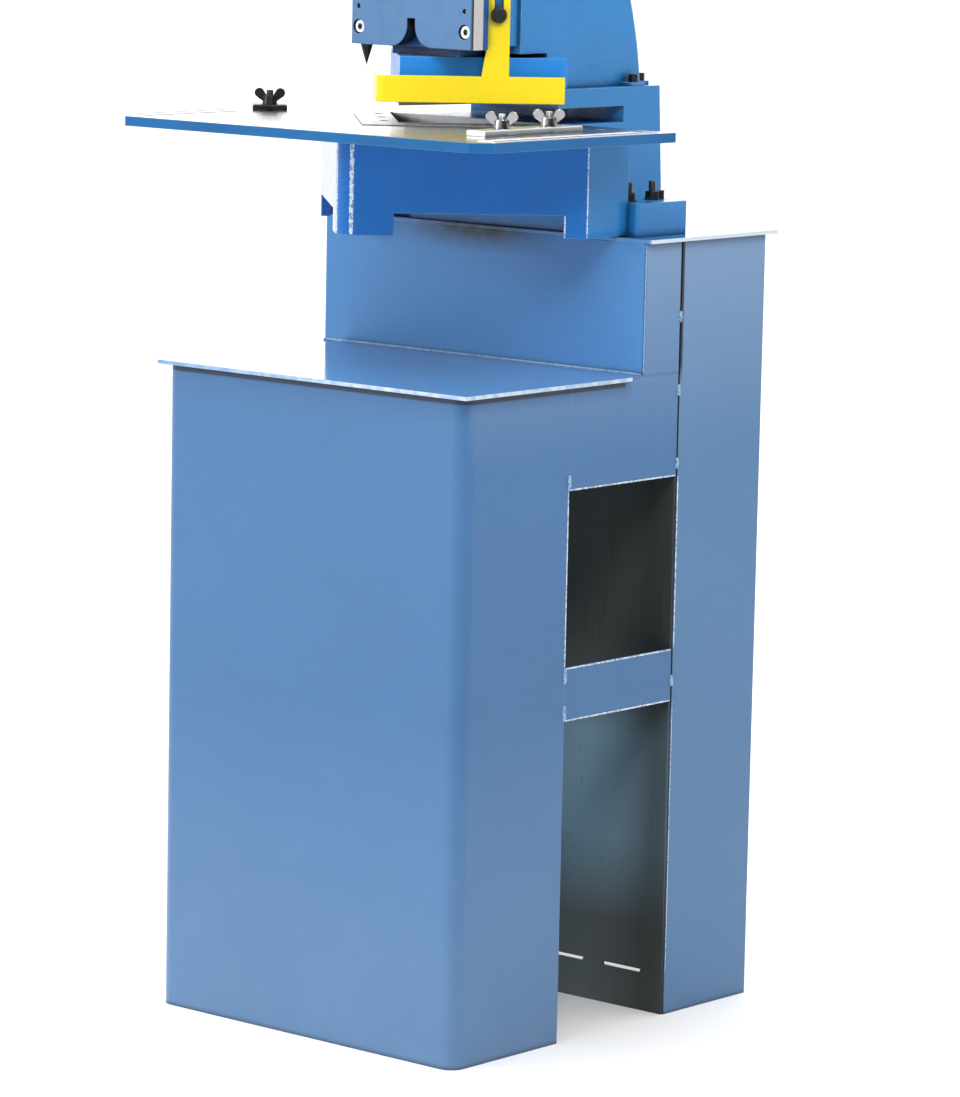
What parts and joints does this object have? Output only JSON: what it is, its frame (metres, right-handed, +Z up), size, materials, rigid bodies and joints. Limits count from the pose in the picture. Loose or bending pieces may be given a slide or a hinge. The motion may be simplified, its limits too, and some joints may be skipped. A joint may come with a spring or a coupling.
{
  "type": "angle notcher",
  "caption": "Floor-standing angle notcher: sheet metal stand, table with a square V die, hydraulic ram with V knives, yellow guard and table stops.",
  "frame": {"origin": "middle of the object's box on the floor; X = 0 is the middle plane of the press", "axes": "+Z up, +Y from the operator to the back, +X to the operator's right"},
  "size_m": [0.5, 0.5024, 1.308],
  "materials": {
    "stand_paint": "satin",
    "machine_paint": "gloss",
    "guard_yellow": "gloss",
    "tool_steel": "ground",
    "black_steel": "black oxide",
    "zinc_steel": "zinc plated",
    "bright_chrome": "polished",
    "scale_strip": "satin",
    "seal_rubber": "matt"
  },
  "bodies": {
    "stand": {"front_shell": "stand_paint", "rear_shell": "stand_paint", "tall_front_panel": "stand_paint", "side_header": "stand_paint", "side_strip": "stand_paint", "inner_wall": "stand_paint", "bottom_rail": "stand_paint", "shelf_plate": "stand_paint", "top_plate": "stand_paint", "lower_frame": "machine_paint", "hold_down_studs": "black_steel", "hold_down_nuts": "black_steel", "hold_down_washers": "black_steel", "jack_screws": "black_steel", "die_housing": "machine_paint", "table_plate": "machine_paint", "table_screws": "zinc_steel", "die_block": "tool_steel", "die_screws": "black_steel", "lower_knife_left": "tool_steel", "lower_knife_right": "tool_steel", "lower_knife_screws": "black_steel", "scale_left": "scale_strip", "scale_right": "scale_strip", "upper_frame": "machine_paint", "frame_bolts": "zinc_steel", "keeper_left": "machine_paint", "keeper_right": "machine_paint", "keeper_screws": "black_steel", "guard_bracket": "machine_paint", "guard_bolts": "zinc_steel", "guard_washers": "zinc_steel", "cylinder_bridge": "machine_paint", "bridge_screws": "black_steel", "cylinder_lower_cap": "machine_paint", "cylinder_tube": "machine_paint", "cylinder_upper_cap": "machine_paint", "tie_rods": "zinc_steel", "rod_wiper": "seal_rubber", "port_fittings": "zinc_steel"},
    "ram": {"ram": "machine_paint", "ram_plate": "machine_paint", "plate_screws": "black_steel", "plate_dowels": "zinc_steel", "setting_point": "black_steel", "knife_holder": "machine_paint", "holder_screws": "black_steel", "upper_knife_left": "tool_steel", "upper_knife_right": "tool_steel", "upper_knife_screws": "black_steel", "piston_rod": "bright_chrome", "rod_screws": "black_steel"},
    "guard": {"guard": "guard_yellow"},
    "right_stop": {"right_stop": "zinc_steel", "right_stop_bolts": "zinc_steel"},
    "left_stop": {"left_stop": "black_steel", "left_stop_bolt": "black_steel"},
    "wing_nut_right_front": {"wing_nut_right_front": "bright_chrome"},
    "wing_nut_right_rear": {"wing_nut_right_rear": "bright_chrome"},
    "wing_nut_left": {"wing_nut_left": "black_steel"}
  },
  "joints": [
    {"name": "ram_slide", "type": "slide", "parent": "stand", "child": "ram", "axis": [0, 0, -1], "range_m": [0, 0.025]},
    {"name": "guard_slide", "type": "slide", "parent": "stand", "child": "guard", "axis": [0, 0, 1], "range_m": [-0.02, 0]},
    {"name": "right_stop_slide", "type": "slide", "parent": "stand", "child": "right_stop", "axis": [1, 0, 0], "range_m": [-0.025, 0.025]},
    {"name": "left_stop_slide", "type": "slide", "parent": "stand", "child": "left_stop", "axis": [-0.7071, 0.7071, 0], "range_m": [-0.015, 0.015]},
    {"name": "wing_nut_right_front_turn", "type": "hinge", "parent": "right_stop", "child": "wing_nut_right_front", "pos_m": [0.176, -0.13625, 0.9301], "axis": [0, 0, 1], "range_deg": [0, 180]},
    {"name": "wing_nut_right_rear_turn", "type": "hinge", "parent": "right_stop", "child": "wing_nut_right_rear", "pos_m": [0.176, -0.06425, 0.9301], "axis": [0, 0, 1], "range_deg": [0, 180]},
    {"name": "wing_nut_left_turn", "type": "hinge", "parent": "left_stop", "child": "wing_nut_left", "pos_m": [-0.221, -0.04725, 0.9301], "axis": [0, 0, 1], "range_deg": [0, 180]}
  ]
}
